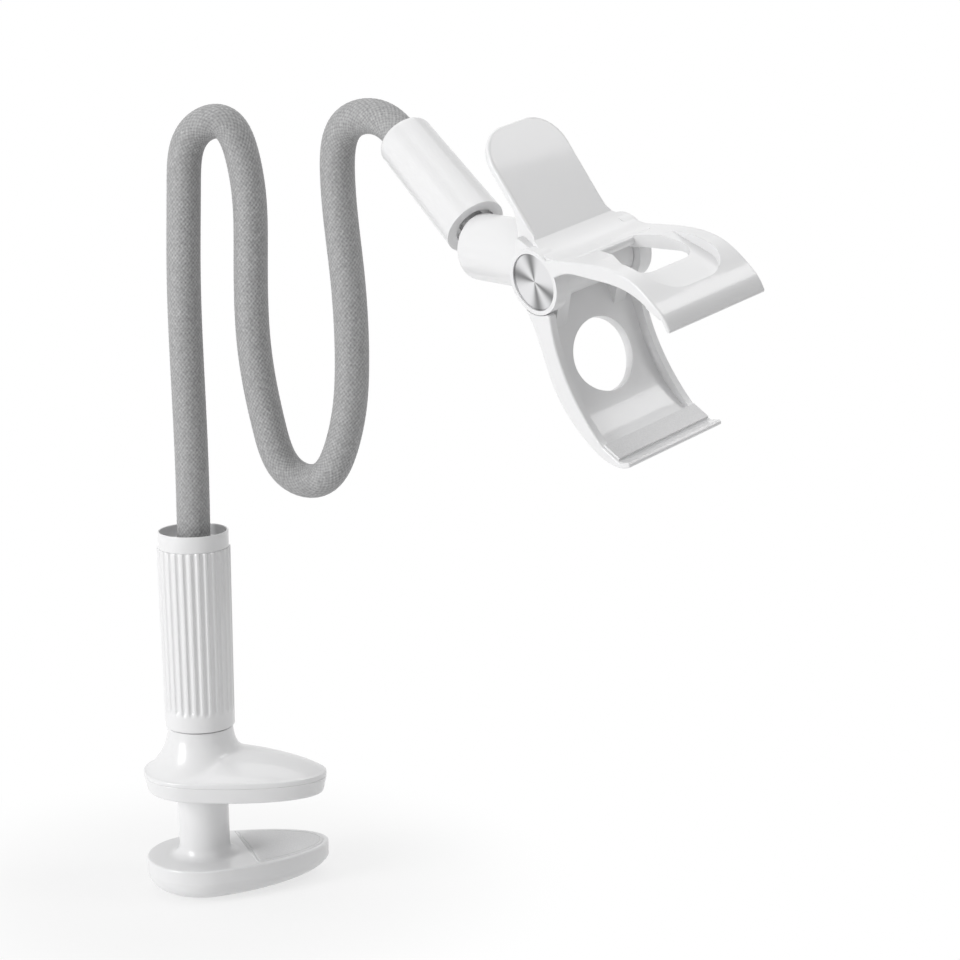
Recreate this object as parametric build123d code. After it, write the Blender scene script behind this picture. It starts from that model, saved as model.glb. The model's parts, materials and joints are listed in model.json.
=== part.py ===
from build123d import *
from math import atan, cos, degrees, radians, sin
import os

# Sizes in millimetres. The column axis is the local Z axis and local zero is the clamp's lowest point.
# The finished part is moved so that the centre of the lower pad's gripping face is the origin.

# Clamp jaws
JAW_BACK = 26.0
JAW_FRONT = 57.5
JAW_HALF = 26.0
LOWER_TOP = 15.8
WALL_HEIGHT = 6.3
HULL_BACK_FLAT = 13.0
HULL_FRONT_FLAT = 17.0
HULL_STEPS = 4
COLUMN_R = 11.4
COLUMN_TOP = 80.0
COLUMN_FLARE = 5.0
RIM_ROUND = 0.8
PIN_HOLE_R = 0.9
PIN_HOLE_DEPTH = 1.5
PIN_HOLE_RISE = 6.5
PIN_HOLE_TURN = 161.0
PAD_INSET = 2.2
PAD_EDGE_X = 19.0
PAD_THICK = 1.6
PAD_PROUD = 0.6

# Upper jaw
JAW_GAP = 31.3
RIM_HEIGHT = 7.3
RIM_DRAFT = 1.7
RIM_EDGE = 1.2
PARTING = 0.4
BORE_LEAD = 3.0
SHOULDER = 2.3
DOME_HEIGHT = 13.2
BELL_HEIGHT = 21.3
NECK_R = 15.2
NECK_FOOT_R = 17.0
NECK_BLEND = 5.0
JAW_TWIST = -30.0
SLIDE_CLEARANCE = 0.1

# Screw, nut and lower ferrule
SCREW_R = 6.0
SCREW_CLEARANCE = 0.1
NUT_CLEARANCE = 0.05
ANCHOR_FLAT = 18.0
ANCHOR_THICK = 8.0
ANCHOR_RECESS = 1.2
NUT_BOTTOM = 110.0
NUT_HEIGHT = 10.0
FERRULE_BOTTOM = 144.0
FERRULE_TOP = 158.0
FERRULE_WALL = 1.2
SCREW_SOCKET = 5.0

# Swivel ring between the upper jaw and the handle
RING_IN = 11.6
RING_WEB = 12.6
RING_OUT = 13.2
RING_WEB_HALF = 1.8
RING_FLANGE = 1.4
RING_CLEARANCE = 0.1
RING_GAP = 0.6

# Handle
HANDLE_TOP = 165.4
HANDLE_BORE = 12.4
HANDLE_TUBE_R = 13.8
LIP_HEIGHT = 7.4
LIP_OUT = 15.6
LIP_IN = 14.8
LIP_FLOOR = 2.0
GRIP_R_LOW = 15.5
GRIP_R_HIGH = 16.3
FLUTE_COUNT = 28
FLUTE_R = 1.35
FLUTE_DEPTH = 0.8
FLUTE_BAND = 8.0

# Flexible neck
SLEEVE_R = 7.4
CORE_R = 5.4
BALL_GAP = 0.3
CUP_START = 3.2
CORE_START = 9.0
CORE_END = 1.5
NECK_FOOT_Z = 150.0
HINGE_1_Z = 212.0
HINGE_2_Z = 285.0
TOP_BEND_R = 13.0
LOW_BEND_R = 15.0
HEAD_BEND_R = 10.4
BOW_R = 60.0
NECK_A = Vector(2.2, -0.6, 344.1)
NECK_B = Vector(26.8, -13.3, 344.3)
NECK_C = Vector(25.6, -15.0, 254.8)
NECK_D = Vector(38.7, -21.5, 185.7)
NECK_E = Vector(59.9, -37.2, 192.3)
NECK_F = Vector(61.8, -46.3, 248.1)
NECK_G = Vector(56.6, -48.4, 345.6)
HINGE_3_PART = 0.31
HINGE_4_PART = 0.80
HINGE_5_PART = 0.24
HINGE_6_PART = 0.69

# Head: collar, ball and barrel
BALL_POINT = Vector(95.98, -132.93, 298.46)
COLLAR_TOP_POINT = Vector(76.4, -79.5, 339.3)
COLLAR_MOUTH_BACK = 13.4
COLLAR_R_TOP = 11.7
COLLAR_R_MOUTH = 12.75
COLLAR_EDGE = 2.6
COLLAR_SOCKET = 14.0
COLLAR_LEAD = 15.5
MOUTH_R = 8.7
MOUTH_DEPTH = 6.0
MOUTH_RING_R = 5.4
MOUTH_RING_THICK = 2.5
STUD_R = 4.0
STUD_LENGTH = 42.0
STUD_TIP = 3.0
BALL_R = 9.0
BALL_CLEARANCE = 0.05
LINER_R = 10.8
LINER_BACK = 3.8
LINER_FRONT = 7.0
BARREL_R = 13.3
BARREL_BACK = 7.0
BARREL_EDGE = 1.6
BARREL_MOUTH_R = 10.4
BARREL_TILT = 30.0
BALL_TO_PIVOT = 51.4

# Clip, in its own frame: x forward into its mouth, y down to its lower jaw, z along the pivot
PIVOT_POINT = Vector(114.72, -180.76, 296.72)
CLIP_FORWARD = Vector(0.40982, -0.75127, -0.51734)
CLIP_ACROSS = Vector(0.91196, 0.34960, 0.21475)
CLIP_HALF = 24.85
CHEEK = 6.0
CHEEK_GAP = 0.3
HUB_R = 12.9
BAND_STEP = 1.0
ARM_EDGE = 0.8
KNUCKLE_R = 9.4
KNUCKLE_IN = 12.5
BARREL_SHORT = 15.4
SLOT_HALF = 5.0
SPRING_ROOM = 7.6
SPRING_R = 5.2
SPRING_WIRE = 1.4
SPRING_PITCH = 2.0
SPRING_TURNS = 4
PIN_R = 3.0
PIN_CLEARANCE = 0.05
CAP_R = 11.2
CAP_THICK = 1.6
CAP_SINK = 0.5
PAD_SHEET = 1.1
PAD_SIDE = 1.0
PAD_FIT = 0.2

# Upper jaw of the clip: section points, window and paddle
ARM_ROOT = (1.0, -11.6)
ARM_SHOULDER = (27.3, -28.2)
ARM_CREST = (42.8, -33.3)
ARM_BROW = (56.2, -31.9)
HOOK_BULGE = (62.2, -30.0)
LIP_FRONT = (66.9, -26.3)
LIP_BACK = (65.1, -25.6)
LIP_ROUND = 0.9
ROOF_FRONT = (60.9, -28.3)
ROOF_BACK = (52.4, -28.3)
UNDER_MID = (39.5, -26.8)
UNDER_LOW = (23.6, -19.6)
UNDER_BEND = (15.4, -15.3)
UNDER_ROOT = (8.6, -7.8)
WINDOW_FRONT = 39.5
WINDOW_HALF_BACK = 9.5
WINDOW_HALF = 17.4
WINDOW_CORNER = 7.0
LEDGE_FRONT = 54.3
LEDGE_HALF = 18.2
LEDGE_CORNER = 13.0
LEDGE_HIGH = (56.0, -31.8)
LEDGE_LOW = (20.0, -25.2)
BAR_FRONT = (15.0, -21.8)
BAR_UNDER = (14.0, -15.8)
BAR_NOSE = 1.9
BAR_LAP = 2.0
SADDLE = (2.5, -13.6)
SADDLE_UNDER = (1.5, -10.0)
PADDLE_BEND = (-8.4, -12.2)
PADDLE_TIP = (-53.0, -34.0)
PADDLE_THICK = 3.6
PADDLE_END = 50.6
PADDLE_HALF = 19.3
PADDLE_CORNER = 13.0
PADDLE_EDGE = 1.2
FLARE_BACK = 10.0
FLARE_FRONT = -1.0
FLARE_R = 9.0
WEB_HALF = 22.4
WEB_BACK = (-15.0, -9.6)
WEB_WAIST = (-14.4, -5.0)
WEB_FRONT = (12.0, -17.0)
FLANGE_IN = 16.5
FLANGE_BACK = (-25.0, -18.0)
FLANGE_WAIST = (-19.6, -11.9)
FLANGE_LOW = (-16.5, -6.5)
FLANGE_FOOT = (-12.0, -1.0)

# Lower jaw of the clip: section points, finger hole and struts
LOW_ROOT = (-4.0, 11.0)
LOW_WALL = (14.0, 26.4)
LOW_KNEE = (26.0, 37.6)
LOW_BELLY = (41.0, 44.2)
LOW_BROW = (56.2, 45.6)
LOW_BULGE = (63.4, 43.2)
LOW_LIP_FRONT = (67.9, 38.6)
LOW_LIP_BACK = (66.1, 38.0)
FLOOR_FRONT = (62.2, 41.2)
FLOOR_BACK = (53.0, 41.2)
INNER_MID = (38.0, 34.6)
INNER_LOW = (24.7, 25.0)
INNER_ROOT = (12.0, 8.0)
FLOOR_DROP = 3.0
WALL_THICK = 3.2
HOLE_R = 14.5
HOLE_CENTRE = (20.0, 31.0)
HOLE_LEAN = 43.0
STRUT_A = (-8.6, 3.0)
STRUT_B = (-4.0, 11.0)
STRUT_C = (12.0, 24.6)
STRUT_D = (9.0, 2.0)

# How far a cutter runs past the face that it opens
OVERCUT = 1.0


def egg(back, front, half):
    rear = EllipticalCenterArc((0, 0), back, half, start_angle=90, arc_size=180)
    nose = EllipticalCenterArc((0, 0), front, half, start_angle=-90, arc_size=180)
    return make_face(rear + nose)


def at_height(z):
    return Pos(0, 0, z)


def tube(outer, inner, low, high):
    ring = Circle(outer) - Circle(inner)
    return at_height(low) * extrude(ring, high - low)


def rod(radius, low, high):
    return at_height(low) * extrude(Circle(radius), high - low)


def pad_outline(inset):
    grip = egg(JAW_BACK - inset, JAW_FRONT - inset, JAW_HALF - inset)
    front = Pos(PAD_EDGE_X + JAW_FRONT / 2, 0) * Rectangle(JAW_FRONT, 2 * JAW_HALF)
    return grip & front


def lower_jaw():
    sections = []
    hull_height = LOWER_TOP - WALL_HEIGHT
    for step in range(HULL_STEPS + 1):
        turn = radians(90 * step / HULL_STEPS)
        back = HULL_BACK_FLAT + (JAW_BACK - HULL_BACK_FLAT) * sin(turn)
        front = HULL_FRONT_FLAT + (JAW_FRONT - HULL_FRONT_FLAT) * sin(turn)
        half = HULL_BACK_FLAT + (JAW_HALF - HULL_BACK_FLAT) * sin(turn)
        sections.append(at_height(hull_height * (1 - cos(turn))) * egg(back, front, half))
    jaw = loft(sections)
    jaw += at_height(hull_height) * extrude(egg(JAW_BACK, JAW_FRONT, JAW_HALF), WALL_HEIGHT)
    jaw = fillet(jaw.edges().group_by(Axis.Z)[-1], RIM_ROUND)
    jaw += rod(COLUMN_R, hull_height, COLUMN_TOP)
    foot = jaw.edges().filter_by(GeomType.CIRCLE).sort_by(Axis.Z)[-2]
    jaw = fillet(foot, COLUMN_FLARE)
    jaw -= rod(SCREW_R + SCREW_CLEARANCE, -OVERCUT, COLUMN_TOP + OVERCUT)
    pocket = extrude(RegularPolygon(ANCHOR_FLAT / 2, 6, major_radius=False), ANCHOR_RECESS + ANCHOR_THICK)
    jaw -= pocket
    jaw -= lower_pad()
    side = Rot(0, 0, PIN_HOLE_TURN) * Pos(COLUMN_R, 0, LOWER_TOP + PIN_HOLE_RISE) * Rot(0, 90, 0)
    return jaw - side * Cylinder(PIN_HOLE_R, 2 * PIN_HOLE_DEPTH)


def lower_pad():
    return at_height(LOWER_TOP + PAD_PROUD - PAD_THICK) * extrude(pad_outline(PAD_INSET), PAD_THICK)


def anchor_nut():
    nut = extrude(RegularPolygon(ANCHOR_FLAT / 2, 6, major_radius=False), ANCHOR_THICK)
    nut = at_height(ANCHOR_RECESS) * nut
    return nut - rod(SCREW_R, -OVERCUT, 2 * ANCHOR_THICK)


def clamp_screw():
    return rod(SCREW_R, ANCHOR_RECESS, FERRULE_BOTTOM + SCREW_SOCKET)


def lower_ferrule():
    ferrule = rod(SLEEVE_R + FERRULE_WALL, FERRULE_BOTTOM, FERRULE_TOP)
    ferrule -= rod(SCREW_R, FERRULE_BOTTOM - OVERCUT, FERRULE_BOTTOM + SCREW_SOCKET)
    return ferrule - rod(SLEEVE_R, NECK_FOOT_Z, FERRULE_TOP + OVERCUT)


UPPER_BOTTOM = LOWER_TOP + JAW_GAP
RIM_TOP = UPPER_BOTTOM + RIM_HEIGHT
BELL_TOP = RIM_TOP + BELL_HEIGHT
HANDLE_BOTTOM = BELL_TOP + RING_GAP
RING_MID = BELL_TOP + RING_GAP / 2
GRIP_TOP = HANDLE_TOP - LIP_HEIGHT
TWIST = Rot(0, 0, JAW_TWIST)


def ring_room():
    reach = RING_WEB_HALF + RING_FLANGE + RING_CLEARANCE
    web = rod(RING_WEB + RING_CLEARANCE, RING_MID - reach, RING_MID + reach)
    low = rod(RING_OUT + RING_CLEARANCE, RING_MID - reach, RING_MID - RING_WEB_HALF + RING_CLEARANCE)
    high = rod(RING_OUT + RING_CLEARANCE, RING_MID + RING_WEB_HALF - RING_CLEARANCE, RING_MID + reach)
    return web + low + high


def swivel_ring():
    reach = RING_WEB_HALF + RING_FLANGE
    web = tube(RING_WEB, RING_IN, RING_MID - reach, RING_MID + reach)
    low = tube(RING_OUT, RING_IN, RING_MID - reach, RING_MID - RING_WEB_HALF)
    high = tube(RING_OUT, RING_IN, RING_MID + RING_WEB_HALF, RING_MID + reach)
    return web + low + high


def half_dome(reach):
    side = Align.MIN if reach > 0 else Align.MAX
    room = Box(abs(reach), 2 * JAW_HALF, DOME_HEIGHT, align=(side, Align.CENTER, Align.MIN))
    return scale(Sphere(1), by=(abs(reach), JAW_HALF, DOME_HEIGHT)) & room


def upper_jaw():
    bell = extrude(egg(JAW_BACK, JAW_FRONT, JAW_HALF), SHOULDER)
    bell = fillet(bell.edges().group_by(Axis.Z)[0], PARTING)
    bell += at_height(SHOULDER) * (half_dome(JAW_FRONT) + half_dome(-JAW_BACK))
    bell += at_height(BELL_HEIGHT / 2) * Cone(NECK_FOOT_R, NECK_R, BELL_HEIGHT)
    foot = bell.edges().filter_by(GeomType.BSPLINE)
    foot = foot.filter_by_position(Axis.Z, DOME_HEIGHT - SHOULDER, BELL_HEIGHT)
    bell = at_height(RIM_TOP) * fillet(foot, NECK_BLEND)
    bell -= rod(COLUMN_R + SLIDE_CLEARANCE, RIM_TOP - OVERCUT, BELL_TOP + OVERCUT)
    return TWIST * (bell - ring_room())


def upper_jaw_base():
    low = egg(JAW_BACK - RIM_DRAFT, JAW_FRONT - RIM_DRAFT, JAW_HALF - RIM_DRAFT)
    plate = loft([low, at_height(RIM_HEIGHT) * egg(JAW_BACK, JAW_FRONT, JAW_HALF)])
    plate = fillet(plate.edges().group_by(Axis.Z)[0], RIM_EDGE)
    plate = fillet(plate.edges().group_by(Axis.Z)[-1], PARTING)
    bore = COLUMN_R + SLIDE_CLEARANCE
    plate -= rod(bore, -OVERCUT, RIM_HEIGHT + OVERCUT)
    plate -= at_height(BORE_LEAD / 2) * Cone(bore + BORE_LEAD, bore, BORE_LEAD)
    return TWIST * (at_height(UPPER_BOTTOM) * plate) - upper_pad()


def upper_pad():
    sheet = extrude(pad_outline(PAD_INSET + RIM_DRAFT), PAD_THICK)
    return TWIST * (at_height(UPPER_BOTTOM - PAD_PROUD) * sheet)


def handle_tube():
    body = tube(HANDLE_TUBE_R, HANDLE_BORE, HANDLE_BOTTOM, GRIP_TOP)
    flange = tube(LIP_OUT, HANDLE_BORE, GRIP_TOP, GRIP_TOP + LIP_FLOOR)
    lip = tube(LIP_OUT, LIP_IN, GRIP_TOP + LIP_FLOOR, HANDLE_TOP)
    return body + flange + lip - ring_room()


def grip_sleeve():
    length = GRIP_TOP - HANDLE_BOTTOM
    grip = at_height(HANDLE_BOTTOM + length / 2) * Cone(GRIP_R_LOW, GRIP_R_HIGH, length)
    grip -= rod(HANDLE_TUBE_R, HANDLE_BOTTOM - OVERCUT, GRIP_TOP + OVERCUT)
    lean = degrees(atan((GRIP_R_HIGH - GRIP_R_LOW) / length))
    cutter = Cylinder(FLUTE_R, length, align=(Align.CENTER, Align.CENTER, Align.MIN))
    foot = Pos(GRIP_R_LOW + FLUTE_R - FLUTE_DEPTH, 0, HANDLE_BOTTOM + FLUTE_BAND) * Rot(0, lean, 0)
    flutes = [Rot(0, 0, 360 * n / FLUTE_COUNT) * foot * cutter for n in range(FLUTE_COUNT)]
    return grip - flutes


def handle_nut():
    return tube(HANDLE_BORE, SCREW_R + NUT_CLEARANCE, NUT_BOTTOM, NUT_BOTTOM + NUT_HEIGHT)


def between(start, end, part):
    return start + (end - start) * part


COLLAR_DIR = (BALL_POINT - COLLAR_TOP_POINT).normalized()
NECK_H = COLLAR_TOP_POINT - COLLAR_DIR * COLLAR_LEAD
NECK_END = COLLAR_TOP_POINT + COLLAR_DIR * COLLAR_SOCKET
HINGE_1 = Vector(0, 0, HINGE_1_Z)
HINGE_2 = Vector(0, 0, HINGE_2_Z)
HINGE_3 = between(NECK_B, NECK_C, HINGE_3_PART)
HINGE_4 = between(NECK_B, NECK_C, HINGE_4_PART)
HINGE_5 = between(NECK_F, NECK_G, HINGE_5_PART)
HINGE_6 = between(NECK_F, NECK_G, HINGE_6_PART)


def route(points, bends, lead, trail):
    first = points[0] + (points[1] - points[0]).normalized() * lead
    last = points[-1] + (points[-2] - points[-1]).normalized() * trail
    stops = [first] + list(points[1:-1]) + [last]
    if not bends:
        return Line(*stops)
    return FilletPolyline(*stops, radius=bends)


def along(points, bends, radius, lead, trail):
    path = route(points, bends, lead, trail)
    start = Plane(origin=path @ 0, z_dir=path % 0)
    return sweep(start * Circle(radius), path)


def neck_core(points, bends, lead, trail):
    return along(points, bends, CORE_R, lead, trail)


def neck_sleeve(points, bends, cup, ball, core_lead, core_trail):
    sleeve = along(points, bends, SLEEVE_R, CUP_START if cup else 0, 0)
    if ball:
        sleeve += Pos(*points[-1]) * Sphere(SLEEVE_R)
    if cup:
        sleeve -= Pos(*points[0]) * Sphere(SLEEVE_R + BALL_GAP)
    return sleeve - neck_core(points, bends, core_lead, core_trail)


SECTIONS = [
    ([Vector(0, 0, NECK_FOOT_Z), HINGE_1], ()),
    ([HINGE_1, HINGE_2], ()),
    ([HINGE_2, NECK_A, NECK_B, HINGE_3], (TOP_BEND_R, TOP_BEND_R)),
    ([HINGE_3, HINGE_4], ()),
    ([HINGE_4, NECK_C, NECK_D, NECK_E, NECK_F, HINGE_5], (BOW_R, LOW_BEND_R, LOW_BEND_R, BOW_R)),
    ([HINGE_5, HINGE_6], ()),
    ([HINGE_6, NECK_G, NECK_H, NECK_END], (HEAD_BEND_R, HEAD_BEND_R)),
]

COLLAR_LENGTH = (BALL_POINT - COLLAR_TOP_POINT).length - COLLAR_MOUTH_BACK
COLLAR_PLANE = Plane(origin=COLLAR_TOP_POINT, z_dir=COLLAR_DIR)
BALL_PLANE = Plane(origin=BALL_POINT, z_dir=COLLAR_DIR)


def collar():
    body = at_height(COLLAR_LENGTH / 2) * Cone(COLLAR_R_TOP, COLLAR_R_MOUTH, COLLAR_LENGTH)
    body = fillet(body.edges().sort_by(Axis.Z)[0], COLLAR_EDGE)
    body -= rod(SLEEVE_R, -OVERCUT, COLLAR_SOCKET)
    body -= rod(MOUTH_R, COLLAR_LENGTH - MOUTH_DEPTH, COLLAR_LENGTH + OVERCUT)
    body -= rod(STUD_R, COLLAR_LENGTH + COLLAR_MOUTH_BACK - STUD_LENGTH, COLLAR_LENGTH)
    return COLLAR_PLANE * body


def mouth_ring():
    low = COLLAR_LENGTH - MOUTH_DEPTH
    return COLLAR_PLANE * tube(MOUTH_R, MOUTH_RING_R, low, low + MOUTH_RING_THICK)


def ball_stud():
    return BALL_PLANE * rod(STUD_R, -STUD_LENGTH, STUD_TIP)


def ball():
    return BALL_PLANE * (Sphere(BALL_R) - rod(STUD_R + BALL_CLEARANCE, -BALL_R, STUD_TIP + BALL_CLEARANCE))


CLIP = Plane(origin=PIVOT_POINT, x_dir=CLIP_FORWARD, z_dir=CLIP_ACROSS)
BARREL = Rot(0, 0, -BARREL_TILT) * Pos(-BALL_TO_PIVOT, 0, 0) * Rot(0, 90, 0)


def socket_liner():
    shell = Sphere(LINER_R) - Sphere(BALL_R + BALL_CLEARANCE)
    shell &= rod(LINER_R, -LINER_BACK, LINER_FRONT)
    return CLIP * BARREL * shell


def barrel():
    body = rod(BARREL_R, -BARREL_BACK, BALL_TO_PIVOT - BARREL_SHORT)
    body = fillet(body.edges().sort_by(Axis.Z)[0], BARREL_EDGE)
    room = Sphere(LINER_R + BALL_CLEARANCE) & rod(BARREL_R, -LINER_BACK, LINER_R + OVERCUT)
    body -= room
    body -= rod(BARREL_MOUTH_R, -BARREL_BACK - OVERCUT, -LINER_BACK)
    body = BARREL * body + tongue()
    body -= straddle(Circle(PIN_R + PIN_CLEARANCE), CLIP_HALF)
    body -= straddle(Circle(SPRING_ROOM), SLOT_HALF)
    return CLIP * body


def tongue():
    bar = Pos(-BARREL_SHORT / 2, 0) * Rectangle(BARREL_SHORT + OVERCUT, 2 * KNUCKLE_R) + Circle(KNUCKLE_R)
    return straddle(Rot(0, 0, -BARREL_TILT) * bar, KNUCKLE_IN)


def torsion_spring():
    height = SPRING_PITCH * SPRING_TURNS
    coil = Helix(SPRING_PITCH, height, SPRING_R)
    wire = Plane(origin=coil @ 0, z_dir=coil % 0) * Rectangle(SPRING_WIRE, SPRING_WIRE)
    spring = Pos(0, 0, -height / 2) * sweep(wire, coil, is_frenet=True)
    return CLIP * spring


def straddle(sketch, half):
    return extrude(sketch, half, both=True)


def sides(sketch, low, high):
    one = Pos(0, 0, low) * extrude(sketch, high - low)
    return one + mirror(one, Plane.XY)


def rounded_at(face, corners, radius):
    for corner in corners:
        face = fillet(face.vertices().sort_by_distance(corner)[0], radius)
    return face


def hooked(face, tip, back, root):
    face = rounded_at(face, (tip, back), LIP_ROUND)
    hook = straddle(rounded_at(face, (root,), LIP_ROUND), CLIP_HALF)
    ends = hook.faces().filter_by(Axis.Z)
    return fillet(ends.edges(), ARM_EDGE)


def arm_top():
    return Spline(ARM_ROOT, ARM_SHOULDER, ARM_CREST, ARM_BROW, HOOK_BULGE, LIP_FRONT)


def upper_arm():
    lip = Polyline(LIP_FRONT, LIP_BACK, ROOF_FRONT, ROOF_BACK)
    under = Spline(ROOF_BACK, UNDER_MID, UNDER_LOW, UNDER_BEND, UNDER_ROOT)
    face = make_face(arm_top() + lip + under + Line(UNDER_ROOT, ARM_ROOT))
    return hooked(face, LIP_FRONT, LIP_BACK, ROOF_FRONT)


def seen_from_above(sketch):
    high = Plane(origin=(0, -PADDLE_END, 0), x_dir=(1, 0, 0), z_dir=(0, 1, 0))
    return extrude(high * sketch, 2 * PADDLE_END)


def window_cut():
    back = BAR_FRONT[0] - BAR_LAP
    hole = make_face(Polyline((back, -WINDOW_HALF_BACK), (WINDOW_FRONT, -WINDOW_HALF),
                              (WINDOW_FRONT, WINDOW_HALF), (back, WINDOW_HALF_BACK), close=True))
    hole = fillet(hole.vertices().group_by(Axis.X)[-1], WINDOW_CORNER)
    sky = make_face(Polyline(LEDGE_LOW, LEDGE_HIGH, (LEDGE_HIGH[0], -PADDLE_END), (LEDGE_LOW[0], -PADDLE_END), close=True))
    plan = Pos(LEDGE_FRONT / 2, 0) * RectangleRounded(LEDGE_FRONT, 2 * LEDGE_HALF, LEDGE_CORNER)
    return seen_from_above(hole) + (straddle(sky, LEDGE_HALF) & seen_from_above(plan))


def paddle_under():
    flat = (Vector(*PADDLE_BEND) - Vector(*PADDLE_TIP)).normalized()
    drop = Vector(-flat.Y, flat.X) * PADDLE_THICK
    return Vector(*PADDLE_BEND) + drop, Vector(*PADDLE_TIP) + drop


def paddle_blade():
    slab = make_face(Polyline(PADDLE_TIP, PADDLE_BEND, *paddle_under(), close=True))
    plan = Pos(-PADDLE_END / 2, 0) * RectangleRounded(PADDLE_END, 2 * PADDLE_HALF, PADDLE_CORNER)
    plan += Pos(-PADDLE_END / 4, 0) * Rectangle(PADDLE_END / 2, 2 * PADDLE_HALF)
    blade = straddle(slab, CLIP_HALF) & seen_from_above(plan)
    rim = blade.edges().filter_by(lambda e: e.center().X < PADDLE_BEND[0] - PADDLE_THICK)
    return fillet(rim.filter_by(lambda e: e.length > 2 * PADDLE_THICK), PADDLE_EDGE)


def saddle():
    bend_under, tip_under = paddle_under()
    top = Line(PADDLE_TIP, PADDLE_BEND) + Spline(PADDLE_BEND, SADDLE, BAR_FRONT)
    under = Spline(BAR_UNDER, SADDLE_UNDER, bend_under) + Line(bend_under, tip_under)
    profile = make_face(top + Line(BAR_FRONT, BAR_UNDER) + under + Line(tip_under, PADDLE_TIP))
    profile = rounded_at(profile, (BAR_FRONT,), BAR_NOSE)
    half = CLIP_HALF - BAND_STEP
    plan = make_face(Polyline((-FLARE_BACK, -PADDLE_HALF), (-FLARE_FRONT, -half), (BAR_FRONT[0], -half),
                              (BAR_FRONT[0], half), (-FLARE_FRONT, half), (-FLARE_BACK, PADDLE_HALF), close=True))
    plan = fillet(plan.vertices().filter_by_position(Axis.X, -FLARE_FRONT - PARTING, PARTING - FLARE_FRONT), FLARE_R)
    return straddle(profile, half) & seen_from_above(plan)


def paddle():
    whole = paddle_blade() + saddle()
    return whole - straddle(Circle(KNUCKLE_R + CHEEK_GAP), CLIP_HALF - CHEEK)


def webs():
    back = Spline((-HUB_R, 0), WEB_WAIST, WEB_BACK)
    top = Polyline(WEB_BACK, SADDLE_UNDER, WEB_FRONT, UNDER_ROOT, (0, 0), (-HUB_R, 0))
    outer = sides(make_face(back + top), CLIP_HALF - CHEEK, WEB_HALF)
    edge = Spline(FLANGE_BACK, FLANGE_WAIST, FLANGE_LOW, FLANGE_FOOT)
    flange = make_face(edge + Polyline(FLANGE_FOOT, SADDLE_UNDER, PADDLE_BEND, FLANGE_BACK))
    return outer + sides(flange - Circle(KNUCKLE_R + CHEEK_GAP), FLANGE_IN, PADDLE_HALF)


def clip_upper_jaw():
    frame = upper_arm() - window_cut()
    room = Pos(BAR_FRONT[0] - BAR_LAP - PADDLE_END, 0) * Rectangle(2 * PADDLE_END, 2 * PADDLE_END)
    frame -= straddle(room, CLIP_HALF - CHEEK)
    hub = sides(Circle(HUB_R), CLIP_HALF - CHEEK, CLIP_HALF)
    frame += [hub, webs(), paddle()]
    frame -= sides(Circle(CAP_R), CLIP_HALF - CAP_SINK - CAP_THICK, CLIP_HALF + OVERCUT)
    frame -= straddle(Circle(PIN_R), CLIP_HALF)
    return CLIP * frame


def jaw_pad(back, front, low):
    length = front - back - PAD_FIT
    sheet = Pos(back + length / 2, low) * Rectangle(length, PAD_SHEET)
    return CLIP * straddle(sheet, CLIP_HALF - PAD_SIDE)


def clip_upper_pad():
    return jaw_pad(ROOF_BACK[0], ROOF_FRONT[0] - LIP_ROUND, ROOF_FRONT[1] + PAD_SHEET / 2)


def lower_profile():
    belly = Spline(LOW_ROOT, LOW_WALL, LOW_KNEE, LOW_BELLY, LOW_BROW, LOW_BULGE, LOW_LIP_FRONT)
    lip = Polyline(LOW_LIP_FRONT, LOW_LIP_BACK, FLOOR_FRONT, FLOOR_BACK)
    inner = Spline(FLOOR_BACK, INNER_MID, INNER_LOW, INNER_ROOT)
    return make_face(belly + lip + inner + Line(INNER_ROOT, LOW_ROOT))


def clip_lower_jaw():
    profile = lower_profile()
    frame = hooked(profile, LOW_LIP_FRONT, LOW_LIP_BACK, FLOOR_FRONT)
    channel = Pos(FLOOR_DROP, -FLOOR_DROP) * profile
    frame -= straddle(channel & Rectangle(2 * FLOOR_BACK[0], 4 * FLOOR_BACK[1]), CLIP_HALF - WALL_THICK)
    tilt = Plane(origin=(*HOLE_CENTRE, 0), z_dir=(sin(radians(HOLE_LEAN)), -cos(radians(HOLE_LEAN)), 0))
    frame -= tilt * Cylinder(HOLE_R, 2 * HOLE_R)
    clear = Circle(HUB_R + CHEEK_GAP)
    frame -= sides(clear, CLIP_HALF - CHEEK - CHEEK_GAP, CLIP_HALF + OVERCUT)
    strut = make_face(Polyline(STRUT_A, STRUT_B, STRUT_C, STRUT_D, close=True))
    frame += sides(Circle(KNUCKLE_R) + strut, KNUCKLE_IN, CLIP_HALF - CHEEK - CHEEK_GAP)
    frame -= straddle(Circle(PIN_R + PIN_CLEARANCE), CLIP_HALF)
    frame -= tongue()
    return CLIP * frame


def clip_lower_pad():
    return jaw_pad(FLOOR_BACK[0], FLOOR_FRONT[0] - LIP_ROUND, FLOOR_FRONT[1] - PAD_SHEET / 2)


def pivot_pin():
    return CLIP * straddle(Circle(PIN_R), CLIP_HALF - CAP_SINK - CAP_THICK)


def pivot_cap(side):
    disc = Pos(0, 0, CLIP_HALF - CAP_SINK - CAP_THICK) * extrude(Circle(CAP_R), CAP_THICK)
    return CLIP * (disc if side > 0 else mirror(disc, Plane.XY))


FRAME = Pos(-(PAD_EDGE_X + JAW_FRONT - PAD_INSET) / 2, 0, -(LOWER_TOP + PAD_PROUD))


def export(name, shape):
    export_step(FRAME * shape, "parts/" + name + ".step")


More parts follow.
